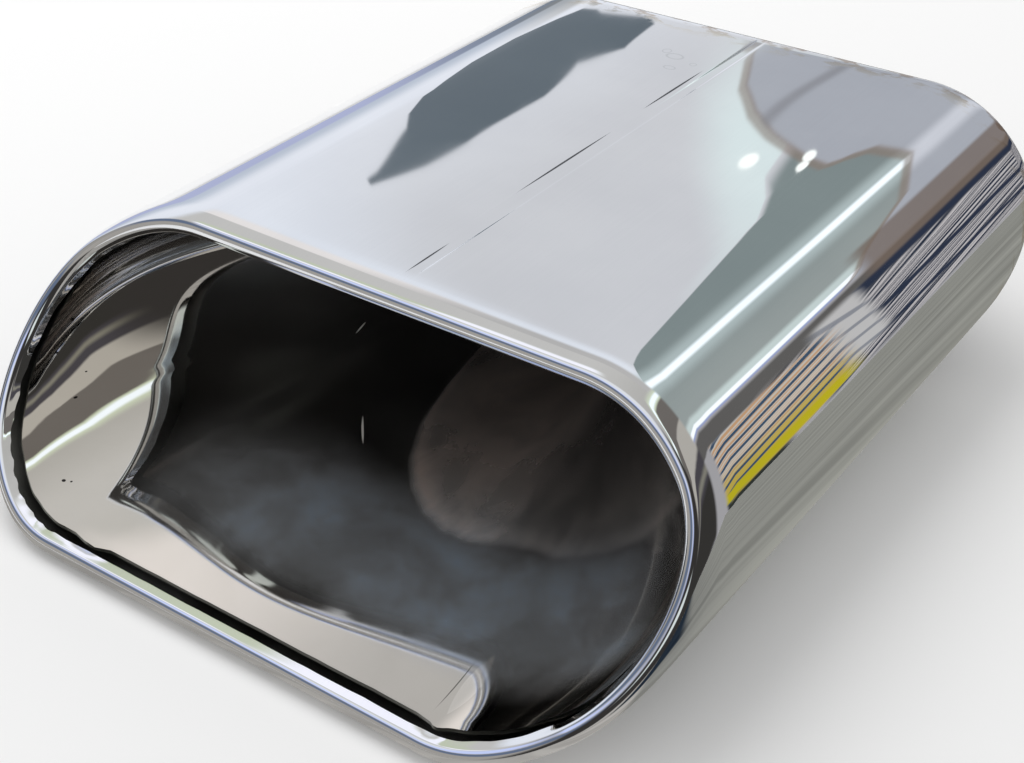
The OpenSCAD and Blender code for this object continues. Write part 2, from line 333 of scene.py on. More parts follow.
def build_liner():
    """The inner wall: a funnel from its uneven front edge behind the curl to a collar on the pipe."""
    s = shell_stops()
    wave = edge_wave(s)
    corner = np.cos(math.pi * s / (2 * QUARTER_LEN)) ** 2
    trim = (0.06 + 0.24 * corner) * wave
    for place, nearness, width in PINCHES:
        trim = trim - nearness * np.exp(-((s - place) / width) ** 2)
    power = LINER_POWER + (LINER_FLAT_POWER - LINER_POWER) * np.sin(outline_at(s)[2]) ** 2
    rows = []
    depths = []
    for out, shares in ((LINER_T, np.linspace(1, 0, 24)), (0, np.linspace(0, 1, 70))):
        front = lip_point(s, LINER_START, LINER_DEPTH - out)[0]
        turn = np.arctan2(front[:, 2], front[:, 0])
        r = COLLAR_R + out
        end = np.stack([r * np.cos(turn), np.full_like(turn, INLET_FRONT), r * np.sin(turn)], -1)
        collar = end + np.array([0, INLET_INSIDE / 2, 0])
        run = []
        first = trim / (INLET_FRONT - front[:, 1])
        for share in shares:
            t = (first + (1 - first) * share)[:, None]
            smooth = np.clip(t, 0, 1)
            narrow = (smooth * smooth * (3 - 2 * smooth)) ** power[:, None]
            run.append(front + (end - front) * np.concatenate([narrow, t, narrow], -1))
        rows += [collar] + run if out > 0 else run + [collar]
        depths += [1.0] + list(shares) if out > 0 else list(shares) + [1.0]
    points = np.stack(rows, 1)
    lengths = np.repeat(s[:, None], len(rows), 1)
    depth = np.repeat(np.array(depths)[None], len(s), 0)
    faces = grid_faces(len(s), len(rows))
    obj = mesh_piece("liner", points.reshape(-1, 3), faces, None,
                     {"around": lengths.ravel(), "along": points[..., 1].ravel(), "depth": depth.ravel()})
    obj.data.set_sharp_from_angle(angle=SHARP_EDGE)
    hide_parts("inner_liner")
    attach(obj, "root")
    return obj


class Tree:
    """Short calls that build a node tree."""

    def __init__(self, tree):
        self.tree = tree
        tree.nodes.clear()

    def node(self, kind, inputs=None, **settings):
        node = self.tree.nodes.new(kind)
        for key, value in settings.items():
            setattr(node, key, value)
        for key, value in (inputs or {}).items():
            self.put(node.inputs[key], value)
        return node

    def put(self, socket, value):
        if isinstance(value, bpy.types.NodeSocket):
            self.tree.links.new(value, socket)
        else:
            socket.default_value = value

    def math(self, operation, a, b=0.0, c=0.0):
        node = self.node("ShaderNodeMath", {0: a, 1: b, 2: c}, operation=operation)
        return node.outputs[0]

    def ramp(self, value, low, high, to_low=0.0, to_high=1.0):
        """Smooth step of value from low to high."""
        node = self.node("ShaderNodeMapRange", {0: value, 1: low, 2: high, 3: to_low, 4: to_high},
                         interpolation_type="SMOOTHSTEP")
        return node.outputs[0]

    def band(self, value, low, high, soft):
        """1 between low and high, with soft edges."""
        rise = self.ramp(value, low - soft, low + soft)
        fall = self.ramp(value, high - soft, high + soft, 1.0, 0.0)
        return self.math("MULTIPLY", rise, fall)

    def mix(self, factor, a, b):
        node = self.node("ShaderNodeMix", data_type="RGBA")
        self.put(node.inputs[0], factor)
        for socket, value in ((node.inputs[6], a), (node.inputs[7], b)):
            self.put(socket, value if isinstance(value, bpy.types.NodeSocket) else (*value, 1.0))
        return node.outputs[2]

    def noise(self, vector, scale, detail=2.0, rough=0.5, distortion=0.0):
        node = self.node("ShaderNodeTexNoise", {"Vector": vector, "Scale": scale, "Detail": detail,
                                                "Roughness": rough, "Distortion": distortion})
        return node.outputs["Fac"]

    def course(self, value, points):
        """Straight course through points of value and result, all between -200 and 200."""
        node = self.node("ShaderNodeFloatCurve", {1: self.math("MULTIPLY_ADD", value, 1 / 400, 0.5)})
        curve = node.mapping.curves[0]
        places = [(x / 400 + 0.5, y / 400 + 0.5) for x, y in points]
        places = [(0.0, places[0][1])] + places + [(1.0, places[-1][1])]
        for point, place in zip(curve.points, (places[0], places[-1])):
            point.location = place
        for place in places[1:-1]:
            curve.points.new(*place)
        for point in curve.points:
            point.handle_type = "VECTOR"
        node.mapping.update()
        return self.math("MULTIPLY_ADD", node.outputs[0], 400, -200)

    def scaled(self, vector, scale):
        node = self.node("ShaderNodeVectorMath", {0: vector, 1: scale}, operation="MULTIPLY")
        return node.outputs[0]


def new_material(name):
    material = bpy.data.materials.new(name)
    material.use_nodes = True
    return material, Tree(material.node_tree)


def finish_metal(tree, color, roughness, bump_height=None, bump_distance=0.0, **sockets):
    inputs = {"Base Color": color, "Roughness": roughness, "Metallic": 1.0}
    if bump_height is not None:
        bump = tree.node("ShaderNodeBump", {"Height": bump_height, "Distance": bump_distance,
                                            "Strength": 1.0})
        inputs["Normal"] = bump.outputs[0]
    inputs.update(sockets)
    shader = tree.node("ShaderNodeBsdfPrincipled", inputs)
    tree.node("ShaderNodeOutputMaterial", {"Surface": shader.outputs[0]})


def sheet_coordinates(tree):
    """Millimetres round and along the sheet, as a vector."""
    around = tree.node("ShaderNodeAttribute", attribute_name="around").outputs["Fac"]
    along = tree.node("ShaderNodeAttribute", attribute_name="along").outputs["Fac"]
    place = tree.node("ShaderNodeCombineXYZ", {0: around, 1: along}).outputs[0]
    return around, along, place


def object_place(tree):
    """X, Y and height in metres."""
    place = tree.node("ShaderNodeTexCoord").outputs["Object"]
    return tree.node("ShaderNodeSeparateXYZ", {0: place}).outputs


def stroke(tree, around, along, place, start, end, half_width, lean=0.0):
    """A thin line along the sheet that tapers at both ends."""
    share = tree.math("MULTIPLY_ADD", along, 1 / (end - start), -start / (end - start))
    rest = tree.math("SUBTRACT", 1, share)
    taper = tree.math("MULTIPLY", tree.math("MULTIPLY", share, rest), 4 * half_width)
    middle = tree.math("MULTIPLY_ADD", share, lean, place)
    off = tree.math("ABSOLUTE", tree.math("SUBTRACT", around, middle))
    return tree.ramp(tree.math("SUBTRACT", taper, off), -0.06, 0.06)


def spot(tree, around, along, place, y, round_size, length_size):
    """A small soft oval at a place of the sheet."""
    across = tree.math("MULTIPLY_ADD", around, 1 / round_size, -place / round_size)
    forward = tree.math("MULTIPLY_ADD", along, 1 / length_size, -y / length_size)
    off = tree.math("ADD", tree.math("MULTIPLY", across, across), tree.math("MULTIPLY", forward, forward))
    return tree.ramp(off, 0.6, 1.2, 1, 0)


def polished_outside():
    """Bright sheet with weld strokes beside the seam, heat tint at the rear and a few water marks."""
    material, tree = new_material("polished_outside")
    around, along, place = sheet_coordinates(tree)
    from_rear = tree.node("ShaderNodeAttribute", attribute_name="from_rear").outputs["Fac"]
    clouds = tree.noise(place, 0.03, 3.0)
    lines = tree.noise(tree.scaled(place, (1.6, 0.03, 1.0)), 1.0, 3.0, 0.6)
    mixed = tree.math("ADD", tree.math("MULTIPLY", clouds, 0.8), tree.math("MULTIPLY", lines, 0.2))
    tone = tree.ramp(mixed, 0.3, 0.7)
    color = tree.mix(tone, (0.79, 0.8, 0.82), (0.84, 0.85, 0.865))
    patches = tree.noise(tree.scaled(place, (0.13, 0.25, 1.0)), 1.0, 3.0, 0.6)
    near_rear = tree.math("MULTIPLY", tree.ramp(from_rear, 12, 3), tree.ramp(patches, 0.48, 0.62))
    tint = tree.mix(tree.ramp(from_rear, 9, 2), (0.66, 0.56, 0.36), (0.36, 0.25, 0.18))
    color = tree.mix(tree.math("MULTIPLY", near_rear, 0.75), color, tint)
    marks = stroke(tree, around, along, QUARTER_LEN + 0.75, -66, -38, 0.3, -0.3)
    for other in (stroke(tree, around, along, QUARTER_LEN + 0.5, -119, -82, 0.28, -0.35),
                  stroke(tree, around, along, SEAM_S + 1.3, -160, -146, 0.2)):
        marks = tree.math("MAXIMUM", marks, other)
    color = tree.mix(marks, color, (0.1, 0.1, 0.11))
    for water in ((110.5, -34, 2.6, 1.9), (114, -32, 1.3, 1.5), (108, -41, 1.8, 1.2), (104, -36, 1.0, 1.0)):
        ring = spot(tree, around, along, *water)
        core = spot(tree, around, along, water[0], water[1], water[2] * 0.8, water[3] * 0.8)
        edge = tree.math("MULTIPLY", tree.math("SUBTRACT", ring, core), 0.5)
        color = tree.mix(edge, color, (0.5, 0.52, 0.52))
    rough = tree.math("ADD", tree.ramp(tone, 0.0, 1.0, 0.012, 0.028), tree.math("MULTIPLY", marks, 0.4))
    rough = tree.math("ADD", rough, tree.math("MULTIPLY", near_rear, 0.12))
    fine = tree.noise(tree.scaled(place, (3.0, 0.06, 1.0)), 1.0, 4.0, 0.7)
    finish_metal(tree, color, rough, fine, 0.00000008)
    return material


def liner_sheet():
    """Bright at the mouth. Further in and on the upper side the sheet is rougher and its colour is darkened
    with painted shade; a bluish haze low inside is partly a duller film and partly a painted reflection, a
    brown patch is a painted reflection and a crease carries a painted highlight; with specks and flakes.
    """
    material, tree = new_material("liner_sheet")
    around, along, place = sheet_coordinates(tree)
    depth = tree.node("ShaderNodeAttribute", attribute_name="depth").outputs["Fac"]
    x, _, height = object_place(tree)
    clouds = tree.noise(place, 0.035, 4.0, 0.55, 0.4)
    wipes = tree.noise(tree.scaled(place, (0.09, 0.05, 1.0)), 1.0, 4.0, 0.6, 0.6)
    slow = tree.noise(place, 0.016, 2.0)
    # Painted shade: the colour darkens deep in the tube and on the upper inside; the same masks also make the
    # sheet rougher there, which is its real dull finish.
    upper_shade_and_dullness = tree.ramp(height, 0.006, 0.018)
    deep_shade_and_dullness = tree.math("MAXIMUM", tree.ramp(depth, 0.24, 0.55), upper_shade_and_dullness)
    tone = tree.ramp(clouds, 0.3, 0.7)
    near = tree.mix(tone, (0.77, 0.75, 0.715), (0.81, 0.79, 0.76))
    far_painted_shade = tree.mix(tone, (0.22, 0.215, 0.21), (0.34, 0.33, 0.325))
    color = tree.mix(deep_shade_and_dullness, near, far_painted_shade)
    color = tree.mix(upper_shade_and_dullness, color, (0.1, 0.097, 0.093))
    start = tree.math("MAXIMUM", tree.ramp(depth, 0.05, 0.15),
                      tree.math("MULTIPLY", tree.ramp(x, 0.05, 0.065), tree.ramp(depth, 0.04, 0.12)))
    # The bluish haze low inside is partly a duller, less metallic film and partly a painted bluish
    # reflection.
    haze_and_blue_sheen = tree.math("MULTIPLY", tree.ramp(height, -0.005, -0.018), tree.ramp(depth, 0.42, 0.2))
    haze_and_blue_sheen = tree.math("MULTIPLY", tree.math("MULTIPLY", haze_and_blue_sheen, start), tree.ramp(x, -0.056, -0.01))
    dust = tree.noise(tree.scaled(place, (0.5, 0.5, 1.0)), 1.0, 6.0, 0.75)
    haze_and_blue_sheen = tree.math("MULTIPLY", haze_and_blue_sheen, tree.ramp(clouds, 0.35, 0.65, 0.5, 1.0))
    haze_and_blue_sheen = tree.math("MULTIPLY", haze_and_blue_sheen, tree.ramp(dust, 0.35, 0.7, 0.85, 1.1))
    color = tree.mix(haze_and_blue_sheen, color, (0.4, 0.49, 0.6))
    # The brown patch and its right-hand part are a painted reflection of the brownish inlet area; they also
    # make the sheet rougher and less metallic.
    from_middle = tree.math("SUBTRACT", around, 288)
    border = tree.course(from_middle, ((-14, 96), (-9, 74), (-4, 58), (1, 47), (7, 40), (14, 34.5),
                                       (22, 30.5), (30, 28.4), (38, 28.2), (46, 29.5), (56, 31), (70, 31)))
    past = tree.math("MULTIPLY_ADD", depth, 100, tree.math("MULTIPLY", border, -1))
    dull_brown_reflection = tree.math("MULTIPLY", tree.ramp(past, -2.5, 1.2), tree.ramp(past, 0.5, 5, 1.0, 0.65))
    dull_brown_reflection = tree.math("MULTIPLY", dull_brown_reflection, tree.ramp(x, -0.03, 0.0))
    dull_brown_reflection = tree.math("MULTIPLY", dull_brown_reflection, tree.ramp(depth, 0.95, 0.6))
    dull_brown_reflection = tree.math("MULTIPLY", dull_brown_reflection, tree.ramp(from_middle, 38, 50, 1.0, 0.45))
    dull_brown_reflection = tree.math("MULTIPLY", dull_brown_reflection, tree.ramp(wipes, 0.35, 0.65, 0.75, 1.1))
    right_brown_reflection = tree.math("MULTIPLY", tree.ramp(x, 0.045, 0.065), tree.ramp(wipes, 0.42, 0.58, 0.12, 0.35))
    dull_brown_reflection = tree.math("MAXIMUM", dull_brown_reflection, tree.math("MULTIPLY", right_brown_reflection, tree.ramp(depth, 0.08, 0.25)))
    color = tree.mix(tree.math("MULTIPLY", dull_brown_reflection, tree.math("SUBTRACT", 1, haze_and_blue_sheen)), color, (0.44, 0.35, 0.31))
    veil = tree.math("MAXIMUM", tree.math("MULTIPLY", haze_and_blue_sheen, 0.28), tree.math("MULTIPLY", dull_brown_reflection, 0.5))
    veil = tree.math("MAXIMUM", veil, tree.math("MULTIPLY", deep_shade_and_dullness, tree.ramp(slow, 0.35, 0.65, 0.02, 0.06)))
    rough = tree.math("ADD", tree.ramp(wipes, 0.3, 0.75, 0.02, 0.035), tree.math("MULTIPLY", deep_shade_and_dullness, 0.2))
    rough = tree.math("ADD", rough, tree.math("MULTIPLY", veil, 0.3))
    # A painted highlight along a crease of the inner wall.
    painted_crease_highlight = stroke(tree, around, along, 349, -213, -196, 2.2)
    color = tree.mix(tree.math("MULTIPLY", painted_crease_highlight, 0.8), color, (0.93, 0.91, 0.88))
    specks = stroke(tree, around, along, 345.9, -212.5, -199, 0.09)
    for dirt in ((196.6, -180.7, 0.4, 0.5), (203.3, -187.2, 0.3, 0.4), (216.6, -189.7, 0.35, 0.5),
                 (236.6, -206.1, 0.55, 0.45), (238.2, -205.2, 0.3, 0.3), (211, -184, 0.2, 0.3)):
        specks = tree.math("MAXIMUM", specks, spot(tree, around, along, *dirt))
    color = tree.mix(specks, color, (0.04, 0.04, 0.04))
    flakes = stroke(tree, around, along, 237.8, -133, -129, 0.4, -4.0)
    flakes = tree.math("MAXIMUM", flakes, stroke(tree, around, along, 283.3, -158.5, -151.5, 0.4, -7.5))
    for scratch in ((256, -200, -178, 0.12, -5), (262, -196, -172, 0.1, -7), (244, -190, -168, 0.1, -2)):
        line = stroke(tree, around, along, *scratch)
        color = tree.mix(tree.math("MULTIPLY", line, 0.5), color, (0.8, 0.8, 0.8))
    color = tree.mix(flakes, color, (0.6, 0.58, 0.54))
    pale = tree.math("MAXIMUM", veil, tree.math("MULTIPLY", flakes, 0.9))
    finish_metal(tree, color, rough, wipes, 0.00000005, Metallic=tree.math("SUBTRACT", 1, pale))
    return material


def hidden_inside():
    """The inside of the outer sheet, and the faces that look into the gap round the liner."""
    material, tree = new_material("hidden_inside")
    place = sheet_coordinates(tree)[2]
    clouds = tree.noise(place, 0.05, 3.0)
    color = tree.mix(tree.ramp(clouds, 0.3, 0.7), (0.3, 0.31, 0.29), (0.42, 0.42, 0.4))
    finish_metal(tree, color, tree.ramp(clouds, 0.3, 0.7, 0.35, 0.5))
    return material


def brushed_steel(name, dark, light, rough_low, rough_high, stretch):
    material, tree = new_material(name)
    place = tree.node("ShaderNodeTexCoord").outputs["Object"]
    grain = tree.noise(tree.scaled(place, stretch), 1.0, 4.0, 0.65)
    clouds = tree.noise(place, 40.0, 3.0)
    tone = tree.math("ADD", tree.math("MULTIPLY", grain, 0.6), tree.math("MULTIPLY", clouds, 0.4))
    color = tree.mix(tree.ramp(tone, 0.35, 0.65), dark, light)
    rough = tree.ramp(tone, 0.3, 0.7, rough_low, rough_high)
    finish_metal(tree, color, rough, grain, 0.00002)
    return material


def build_materials():
    shell = bpy.data.objects["polished_shell"]
    for material in (polished_outside(), hidden_inside()):
        shell.data.materials.append(material)
    bpy.data.objects["liner"].data.materials.append(liner_sheet())
    plans = {
        "rear_plate": brushed_steel("plate_steel", (0.2, 0.2, 0.2), (0.3, 0.295, 0.29),
                                    0.3, 0.45, (20, 20, 900)),
        "inlet_pipe": brushed_steel("pipe_steel", (0.42, 0.42, 0.42), (0.55, 0.54, 0.53),
                                    0.2, 0.35, (900, 20, 900)),
        "inlet_weld": brushed_steel("weld_steel", (0.3, 0.27, 0.25), (0.45, 0.42, 0.4),
                                    0.3, 0.5, (300, 300, 300)),
    }
    for node, material in plans.items():
        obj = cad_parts[node]
        obj.data.materials.clear()
        obj.data.materials.append(material)


def build_floor():
    z = shell_low.z - 0.00002
    mesh = bpy.data.meshes.new("floor")
    r = 6.0
    mesh.from_pydata([(-r, -r, z), (r, -r, z), (r, r, z), (-r, r, z)], [], [(0, 1, 2, 3)])
    floor = link(bpy.data.objects.new("floor", mesh))
    material, tree = new_material("pale_floor")
    shader = tree.node("ShaderNodeBsdfPrincipled", {"Base Color": (0.83, 0.83, 0.83, 1.0), "Roughness": 0.9,
                                                   "Specular IOR Level": 0.0})
    tree.node("ShaderNodeOutputMaterial", {"Surface": shader.outputs[0]})
    mesh.materials.append(material)


def build_reflection_glow_card():
    """A card on the floor that only mirrored rays see. It glows with grey, beige and dark sectors round the
    mouth instead of being lit: painted reflections, not a lamp.
    """
    z = shell_low.z - 0.00001
    reach = 5.0
    left_edge = -0.1
    mesh = bpy.data.meshes.new("reflection_glow_card")
    corners = [(left_edge, -reach, z), (reach, -reach, z), (reach, reach, z), (left_edge, reach, z)]
    mesh.from_pydata(corners, [], [(0, 1, 2, 3)])
    card = link(bpy.data.objects.new("reflection_glow_card", mesh))
    material, tree = new_material("reflection_glow_card")
    x, y, _ = object_place(tree)
    ahead = tree.math("SUBTRACT", y, MOUTH_Y * MM)
    turn = tree.math("MULTIPLY", tree.math("ARCTAN2", ahead, x), DEGREES)
    tone = tree.mix(tree.ramp(turn, -70, -40), (0.38, 0.365, 0.34), (0.45, 0.43, 0.4))
    side = tree.mix(tree.ramp(turn, 10, 35), (0.245, 0.245, 0.225), (0.3, 0.3, 0.27))
    tone = tree.mix(tree.ramp(turn, -3, 2), tone, side)
    dark = tree.math("MULTIPLY", tree.band(turn, -16, 12, 3), tree.ramp(x, 0.108, 0.114))
    tone = tree.mix(dark, tone, (0.02, 0.03, 0.045))
    place = tree.node("ShaderNodeCombineXYZ", {0: tree.math("MULTIPLY_ADD", y, 0.25, x), 1: y}).outputs[0]
    streaks = tree.noise(tree.scaled(place, (60, 3, 1)), 1.0, 3.0, 0.6)
    tone = tree.scaled(tone, tree.ramp(streaks, 0.3, 0.7, 0.8, 1.2))
    # The card glows with these tones instead of being lit: painted reflections for the metal, not a lamp.
    glow = tree.node("ShaderNodeEmission", {"Color": tone, "Strength": 1.0})
    tree.node("ShaderNodeOutputMaterial", {"Surface": glow.outputs[0]})
    mesh.materials.append(material)
    card.visible_camera = False
    card.visible_diffuse = False
    card.visible_shadow = False


def ring_and_cone(tree, x, y, z):
    """Angle round the tip's length, 0 on the right, 90 above and 180 on the left, and angle away
    from its length, 0 straight back and 180 straight to the front."""
    ring = tree.math("MULTIPLY", tree.math("ARCTAN2", z, x), DEGREES)
    ring = tree.math("ADD", ring, tree.math("MULTIPLY", tree.math("LESS_THAN", ring, -90), 360))
    cone = tree.math("MULTIPLY", tree.math("ARCCOSINE", y), DEGREES)
    return ring, cone


def right_hand_room(tree, color, way, ring, cone):
    """Grey wall on the right with a lamp strip and a window strip, under an arched ceiling edge."""
    wobble = tree.math("SUBTRACT", tree.noise(way, 2.2, 1.0), 0.5)
    wall_end = tree.course(cone, ((34, 131.5), (36.5, 130), (39.8, 120), (43.7, 111), (55, 96)))
    wall_end = tree.math("MULTIPLY_ADD", wobble, 1.5, wall_end)
    past_wall = tree.math("SUBTRACT", ring, wall_end)
    wall = tree.math("MULTIPLY", tree.ramp(ring, 62, 63), tree.ramp(past_wall, -0.5, 0.5, 1, 0))
    wall_color = tree.mix(tree.ramp(ring, 66, 112), (0.36, 0.4, 0.39), (0.25, 0.3, 0.3))
    color = tree.mix(wall, color, wall_color)
    glow = tree.math("MULTIPLY", tree.ramp(past_wall, 0.4, 0.6), tree.ramp(past_wall, 3, 9, 1, 0))
    color = tree.mix(tree.math("MULTIPLY", glow, tree.ramp(cone, 42, 35)), color, (0.82, 0.93, 0.93))
    halo = tree.band(ring, 87, 101, 4)
    near = tree.ramp(cone, 62, 57)
    color = tree.mix(tree.math("MULTIPLY", halo, tree.math("MULTIPLY", near, 0.7)), color, (0.58, 0.68, 0.68))
    color = tree.mix(tree.math("MULTIPLY", tree.band(ring, 91.5, 95.5, 1.2), near), color, (1.2, 1.3, 1.35))
    color = tree.mix(tree.band(ring, 61.5, 68, 1.5), color, (0.66, 0.76, 0.74))
    color = tree.mix(tree.band(ring, 62.2, 64.4, 0.5), color, (1.2, 1.25, 1.3))
    color = tree.mix(tree.band(ring, 60.6, 62, 0.4), color, (0.35, 0.42, 0.75))
    edge = tree.course(ring, ((50, 41.5), (54, 39.4), (63, 35.6), (68, 35), (78, 32.7), (95, 31.7),
                              (115, 32.3), (122, 33), (130, 34.2), (133, 34.8), (135.3, 35), (136.6, 34.4),
                              (138, 33.4)))
    above = tree.math("SUBTRACT", tree.math("MULTIPLY_ADD", wobble, 0.4, edge), cone)
    span = tree.band(ring, 51, 137.8, 1)
    far_color = tree.mix(tree.band(ring, 88, 99, 4), (0.46, 0.48, 0.53), (0.7, 0.72, 0.78))
    color = tree.mix(tree.math("MULTIPLY", tree.ramp(above, -0.1, 0.1), span), color, far_color)
    trim = tree.math("MULTIPLY", tree.band(above, -0.3, 0.12, 0.12), span)
    color = tree.mix(tree.math("MULTIPLY", trim, 0.7), color, (0.3, 0.24, 0.2))
    joint = tree.math("MULTIPLY", tree.band(ring, 133.3, 133.9, 0.25), tree.ramp(above, -0.1, 0.1))
    color = tree.mix(tree.math("MULTIPLY", joint, 0.6), color, (0.25, 0.25, 0.27))
    for lamp_ring, lamp_cone, size in ((132.3, 36.0, 0.5), (130.3, 34.2, 0.35), (130.0, 34.65, 0.35)):
        across = tree.math("SUBTRACT", ring, lamp_ring)
        up = tree.math("SUBTRACT", cone, lamp_cone)
        off = tree.math("ADD", tree.math("MULTIPLY", across, across), tree.math("MULTIPLY", up, up))
        color = tree.mix(tree.ramp(off, size * size * 0.3, size * size, 1, 0), color, (1.3, 1.35, 1.3))
    return color


def low_right_room(tree, color, ring, cone):
    """Brown cupboard, dark posts and a striped stack of boards, low on the right."""
    low = tree.mix(tree.ramp(cone, 56, 64), (0.42, 0.41, 0.42), (0.06, 0.055, 0.055))
    color = tree.mix(tree.ramp(ring, 62, 60.5), color, low)
    color = tree.mix(tree.band(ring, 51, 60, 1), color, (0.13, 0.125, 0.12))
    slanted = tree.math("MULTIPLY_ADD", tree.math("SUBTRACT", cone, 35), 2.2, ring)
    posts = tree.node("ShaderNodeTexNoise", {"W": tree.math("MULTIPLY", slanted, 0.1), "Detail": 1.5,
                                            "Roughness": 0.6}, noise_dimensions="1D").outputs["Fac"]
    zone = tree.math("MULTIPLY", tree.band(ring, 2, 52, 2), tree.ramp(cone, 42, 39))
    post_color = tree.mix(tree.ramp(posts, 0.44, 0.55), (0.025, 0.035, 0.06), (0.6, 0.57, 0.57))
    color = tree.mix(zone, color, post_color)
    for place, width in ((12, 1.6), (31, 2.0), (54, 2.2)):
        post = tree.band(ring, place - width, place + width, 0.8)
        color = tree.mix(tree.math("MULTIPLY", post, tree.ramp(cone, 37.5, 36)), color, (0.03, 0.04, 0.07))
    brown = tree.math("MULTIPLY", tree.band(ring, 56, 73, 1.5), tree.ramp(cone, 36, 34.8))
    color = tree.mix(tree.math("MULTIPLY", brown, 0.8), color, (0.2, 0.15, 0.12))
    arc = tree.math("MULTIPLY_ADD", tree.math("SUBTRACT", cone, 37), -4.0, ring)
    arcs = tree.ramp(tree.math("SINE", tree.math("MULTIPLY", arc, 0.55)), 0.5, 0.9)
    pale = tree.mix(arcs, (0.6, 0.59, 0.58), (0.3, 0.31, 0.34))
    shelf = tree.math("MULTIPLY", tree.band(ring, 12, 56, 2), tree.band(cone, 36.2, 38.4, 0.4))
    color = tree.mix(shelf, color, pale)
    stack = tree.math("MULTIPLY", tree.band(ring, 3, 51, 1), tree.band(cone, 38, 46, 0.7))
    layer = tree.math("MULTIPLY_ADD", tree.math("SUBTRACT", cone, 40), 0.9, ring)
    tint = tree.node("ShaderNodeTexNoise", {"W": tree.math("MULTIPLY", layer, 0.13), "Detail": 0.0},
                     noise_dimensions="1D").outputs["Fac"]
    stripe = tree.mix(tree.ramp(tint, 0.42, 0.58), (0.6, 0.36, 0.2), (0.62, 0.57, 0.5))
    stripe = tree.mix(tree.ramp(ring, 30, 14), stripe, (0.55, 0.42, 0.08))
    line = tree.ramp(tree.math("SINE", tree.math("MULTIPLY", layer, 2 * math.pi / 6.6)), 0.35, 0.75)
    stripe = tree.mix(line, stripe, (0.05, 0.09, 0.15))
    stripe = tree.mix(tree.band(ring, 4, 11, 1), stripe, (0.55, 0.47, 0.02))
    shade = tree.math("MULTIPLY", tree.band(ring, -9, 5, 2), tree.band(cone, 41.3, 46, 0.5))
    color = tree.mix(shade, color, (0.035, 0.04, 0.035))
    return tree.mix(stack, color, stripe)


def left_hand_room(tree, color, way, ring, cone):
    """White wall over the tip and a dark leaf-shaped card high on the left."""
    color = tree.mix(tree.ramp(cone, 45.5, 52), color, (0.86, 0.9, 0.97))
    color = tree.mix(tree.ramp(ring, 137, 150), color, (0.92, 0.95, 1.02))
    wobble = tree.math("MULTIPLY", tree.math("SUBTRACT", tree.noise(way, 14.0, 2.0), 0.5), 0.4)
    card_right = tree.course(cone, ((36.1, 142.0), (36.4, 140.4), (36.7, 140.2), (37.2, 141.1), (38.1, 142),
                                    (38.9, 142.3), (39.4, 142.1), (40.1, 141.7), (43.1, 141.5), (44.2, 141.6),
                                    (45.6, 141.8), (46.8, 142.1), (47.3, 142.5)))
    card_left = tree.course(cone, ((36.1, 142.3), (37.2, 143.9), (37.9, 144.3), (38.9, 148.4), (39.9, 153),
                                   (41.9, 153.2), (42.8, 151.1), (43.6, 148.4), (43.9, 144.3), (45.3, 143.5),
                                   (46.2, 143.1), (47.3, 142.4)))
    rough = tree.math("MULTIPLY", wobble, tree.ramp(cone, 40, 38.5))
    past_right = tree.math("SUBTRACT", ring, tree.math("ADD", card_right, rough))
    before_left = tree.ramp(tree.math("SUBTRACT", ring, card_left), -0.12, 0.12, 1, 0)
    inside = tree.math("MULTIPLY", tree.ramp(past_right, -0.08, 0.08), before_left)
    inside = tree.math("MULTIPLY", inside, tree.band(cone, 36.1, 47.3, 0.05))
    card = tree.mix(tree.ramp(ring, 141, 152), (0.145, 0.177, 0.205), (0.2, 0.23, 0.26))
    color = tree.mix(inside, color, card)
    color = tree.mix(tree.ramp(ring, 154, 168), color, (0.58, 0.64, 0.74))
    low = tree.mix(tree.ramp(cone, 40, 47), (0.23, 0.27, 0.34), (0.48, 0.52, 0.74))
    color = tree.mix(tree.band(ring, 170, 181, 1.5), color, low)
    shade = tree.math("MULTIPLY", tree.band(ring, 153, 176, 3), tree.ramp(cone, 42, 37))
    return tree.mix(tree.math("MULTIPLY", shade, 0.6), color, (0.3, 0.29, 0.24))


def above_the_mouth(tree, color, ring, cone):
    """Over the mouth, for the inner wall and the lips: beige ceiling, one bright lamp line, dark beams."""
    line = tree.course(cone, ((58, 88), (66, 88), (75, 88), (82, 84), (88, 77.5), (110, 76)))
    bent = tree.math("ADD", tree.math("SUBTRACT", ring, line), 80)
    ceiling = tree.mix(tree.ramp(ring, 85, 120), (0.51, 0.5, 0.475), (0.63, 0.62, 0.6))
    middle = tree.mix(tree.ramp(ring, 124, 134), (0.54, 0.53, 0.52), (0.93, 0.89, 0.87))
    view = tree.mix(tree.ramp(cone, 62.8, 61.3), ceiling, middle)
    view = tree.mix(tree.ramp(bent, 84.5, 81), view, (0.72, 0.8, 0.62))
    view = tree.mix(tree.band(bent, 78.8, 81.2, 0.7), view, (1.15, 1.25, 1.35))
    view = tree.mix(tree.ramp(bent, 78.4, 77), view, (0.175, 0.16, 0.147))
    view = tree.mix(tree.ramp(bent, 66, 64.5), view, (0.5, 0.475, 0.43))
    view = tree.mix(tree.ramp(bent, 52, 49), view, (0.075, 0.07, 0.08))
    view = tree.mix(tree.band(bent, 37, 42, 2.5), view, (0.25, 0.24, 0.2))
    view = tree.mix(tree.ramp(bent, 36, 30), view, (0.04, 0.038, 0.035))
    above = tree.math("MULTIPLY", tree.ramp(cone, 53, 57), tree.ramp(ring, -4, 4))
    above = tree.math("MULTIPLY", above, tree.ramp(ring, 146, 138))
    return tree.mix(above, color, view)


